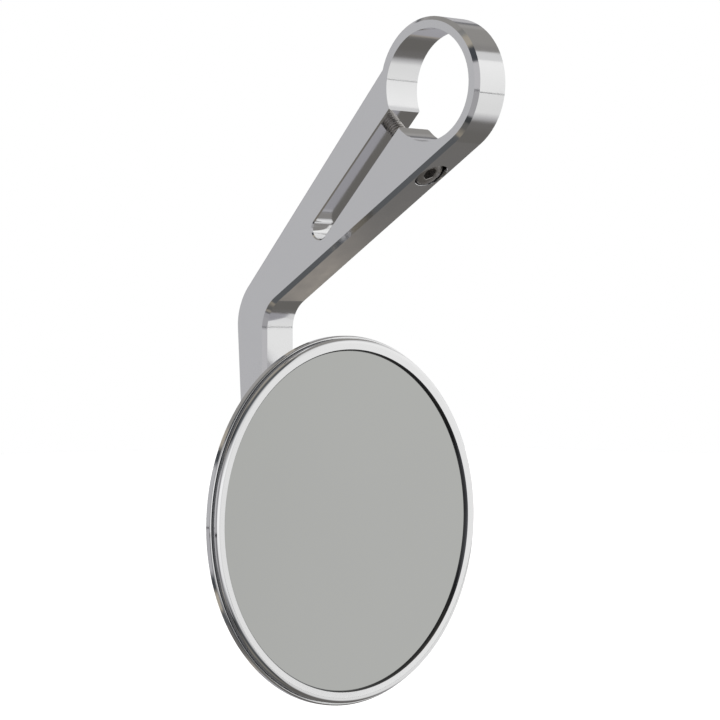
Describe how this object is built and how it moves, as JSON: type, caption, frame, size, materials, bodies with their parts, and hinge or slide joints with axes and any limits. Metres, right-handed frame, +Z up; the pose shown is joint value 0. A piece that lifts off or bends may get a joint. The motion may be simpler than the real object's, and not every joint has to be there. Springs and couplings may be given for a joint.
{
  "type": "motorcycle mirror",
  "caption": "Clamp-on motorcycle mirror: a slotted plate arm with a handlebar clamp ring, bent behind a round ball-jointed head with a bezel and flat glass.",
  "frame": {"origin": "centre of the handlebar bore, half way through the plate", "axes": "+X along the handlebar, +Y from the glass back to the arm's neck, so the glass faces -Y, +Z up"},
  "size_m": [0.0858, 0.0787, 0.1571],
  "materials": {
    "polished_aluminium": "polished",
    "zinc_steel": "zinc plated",
    "stainless_steel": "turned",
    "acetal": "moulded",
    "mirror_glass": "silvered",
    "bonding_foam": "foam",
    "seal_rubber": "moulded"
  },
  "bodies": {
    "mount_arm": {"arm": "polished_aluminium", "clamp_screw": "zinc_steel", "ball_stud": "stainless_steel", "stud_washer": "stainless_steel"},
    "swivel_liner": {"rear_ball_liner": "acetal"},
    "tilt_cup": {"front_ball_cup": "acetal"},
    "mirror_head": {"mirror_housing": "polished_aluminium", "bezel_ring": "polished_aluminium", "rim_seal": "seal_rubber", "mirror_glass": "mirror_glass", "glass_pad": "bonding_foam", "socket_collar": "polished_aluminium", "collar_screws": "stainless_steel", "pressure_spring": "stainless_steel"}
  },
  "joints": [
    {"name": "mirror_swivel", "type": "hinge", "parent": "mount_arm", "child": "swivel_liner", "pos_m": [0, 0.0421, -0.0988], "axis": [0, 0, 1], "range_deg": [-15, 15]},
    {"name": "mirror_tilt", "type": "hinge", "parent": "swivel_liner", "child": "tilt_cup", "pos_m": [0, 0.0421, -0.0988], "axis": [1, 0, 0], "range_deg": [-15, 15]},
    {"name": "mirror_spin", "type": "hinge", "parent": "tilt_cup", "child": "mirror_head", "pos_m": [0, 0.0421, -0.0988], "axis": [0, 1, 0], "continuous": true}
  ]
}
